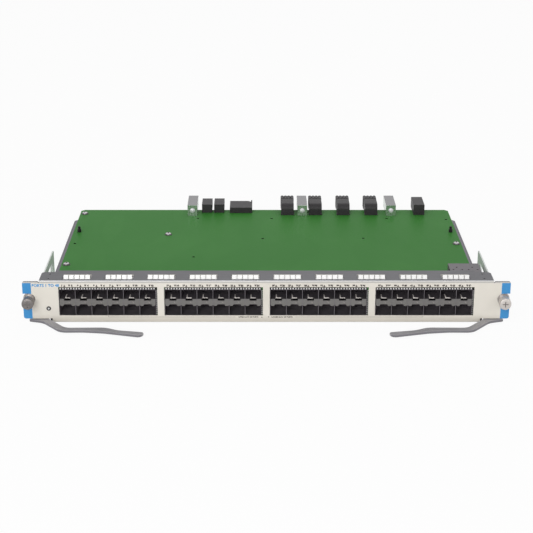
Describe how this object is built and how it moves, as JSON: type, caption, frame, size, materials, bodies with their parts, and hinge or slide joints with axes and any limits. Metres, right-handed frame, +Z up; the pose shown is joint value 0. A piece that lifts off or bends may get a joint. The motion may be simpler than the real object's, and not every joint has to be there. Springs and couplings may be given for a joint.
{
  "type": "switch line card",
  "caption": "Wide slide-in switch line card: folded front panel with stacked module ports, board on a railed tray, rear plugs, ejector levers and captive thumb screws.",
  "frame": {"origin": "middle of the bottom of the card's bounding box, on the underside of the tray", "axes": "+X across the card to the right as seen from the front, +Y from the front panel to the rear connectors, +Z up"},
  "size_m": [0.433, 0.3528, 0.0426],
  "materials": {
    "panel_paint": "satin off-white paint with blue ear bands, bare zinc on the folded flanges",
    "zinc_steel": "grey zinc-plated sheet, softly brushed",
    "bright_steel": "bright nickel plate",
    "dark_sheet": "dark plated cage sheet",
    "separator_grey": "matt grey stamped sheet",
    "black_plastic": "black moulded connector plastic",
    "board_green": "green solder mask",
    "lever_cast": "grey cast metal, satin",
    "guide_metal": "bright machined block",
    "knob_metal": "nickel-plated knurled knob",
    "lamp": "clear light pipe in a dark ring",
    "chip_black": "black moulded chip package",
    "spring_steel": "spring steel"
  },
  "bodies": {
    "card": {"backplane_plug_1": "black_plastic", "backplane_plug_2": "black_plastic", "backplane_plug_3": "black_plastic", "backplane_plug_4": "black_plastic", "board_screws": "bright_steel", "board_standoffs": "bright_steel", "cage_dividers_1": "dark_sheet", "cage_dividers_2": "dark_sheet", "cage_dividers_3": "dark_sheet", "cage_dividers_4": "dark_sheet", "cage_floor_1": "dark_sheet", "cage_floor_2": "dark_sheet", "cage_floor_3": "dark_sheet", "cage_floor_4": "dark_sheet", "cage_shell_1": "dark_sheet", "cage_shell_2": "dark_sheet", "cage_shell_3": "dark_sheet", "cage_shell_4": "dark_sheet", "cage_springs_1": "bright_steel", "cage_springs_2": "bright_steel", "cage_springs_3": "bright_steel", "cage_springs_4": "bright_steel", "circuit_board": "board_green", "corner_bracket": "zinc_steel", "end_connector": "black_plastic", "faceplate": "panel_paint", "flange_gaskets": "bright_steel", "guide_block_1": "guide_metal", "guide_block_2": "guide_metal", "guide_block_3": "guide_metal", "guide_screws": "bright_steel", "left_screw_spring": "spring_steel", "left_side_bracket": "bright_steel", "lever_pins": "bright_steel", "locating_posts": "black_plastic", "port_chips": "chip_black", "port_receptacles_1": "black_plastic", "port_receptacles_2": "black_plastic", "port_receptacles_3": "black_plastic", "port_receptacles_4": "black_plastic", "port_separators_1": "separator_grey", "port_separators_2": "separator_grey", "port_separators_3": "separator_grey", "port_separators_4": "separator_grey", "power_socket_1": "black_plastic", "power_socket_2": "black_plastic", "right_screw_spring": "spring_steel", "right_side_bracket": "bright_steel", "screw_sleeves": "bright_steel", "status_lens": "lamp", "supply_connector": "black_plastic", "switch_chip": "chip_black", "tray": "zinc_steel"},
    "left_lever": {"left_lever": "lever_cast"},
    "right_lever": {"right_lever": "lever_cast"},
    "left_ring": {"left_screw_ring": "bright_steel"},
    "right_ring": {"right_screw_ring": "bright_steel"},
    "left_screw": {"left_thumb_screw": "knob_metal"},
    "right_screw": {"right_thumb_screw": "knob_metal"}
  },
  "joints": [
    {"name": "left_lever_swing", "type": "hinge", "parent": "card", "child": "left_lever", "pos_m": [-0.204, -0.13359, 0.00185], "axis": [0, 0, 1], "range_deg": [-65, 0]},
    {"name": "left_screw_press", "type": "slide", "parent": "card", "child": "left_ring", "axis": [0, 1, 0], "range_m": [0, 0.005], "stiffness_N_per_m": 150, "springref_m": -0.003, "deforming": ["left_screw_spring"]},
    {"name": "left_screw_turn", "type": "hinge", "parent": "left_ring", "child": "left_screw", "pos_m": [-0.2106, -0.15308, 0.0221], "axis": [0, 1, 0], "continuous": true},
    {"name": "right_lever_swing", "type": "hinge", "parent": "card", "child": "right_lever", "pos_m": [0.204, -0.13359, 0.00185], "axis": [0, 0, 1], "range_deg": [0, 65]},
    {"name": "right_screw_press", "type": "slide", "parent": "card", "child": "right_ring", "axis": [0, 1, 0], "range_m": [0, 0.005], "stiffness_N_per_m": 150, "springref_m": -0.003, "deforming": ["right_screw_spring"]},
    {"name": "right_screw_turn", "type": "hinge", "parent": "right_ring", "child": "right_screw", "pos_m": [0.2106, -0.15308, 0.0221], "axis": [0, 1, 0], "continuous": true}
  ]
}
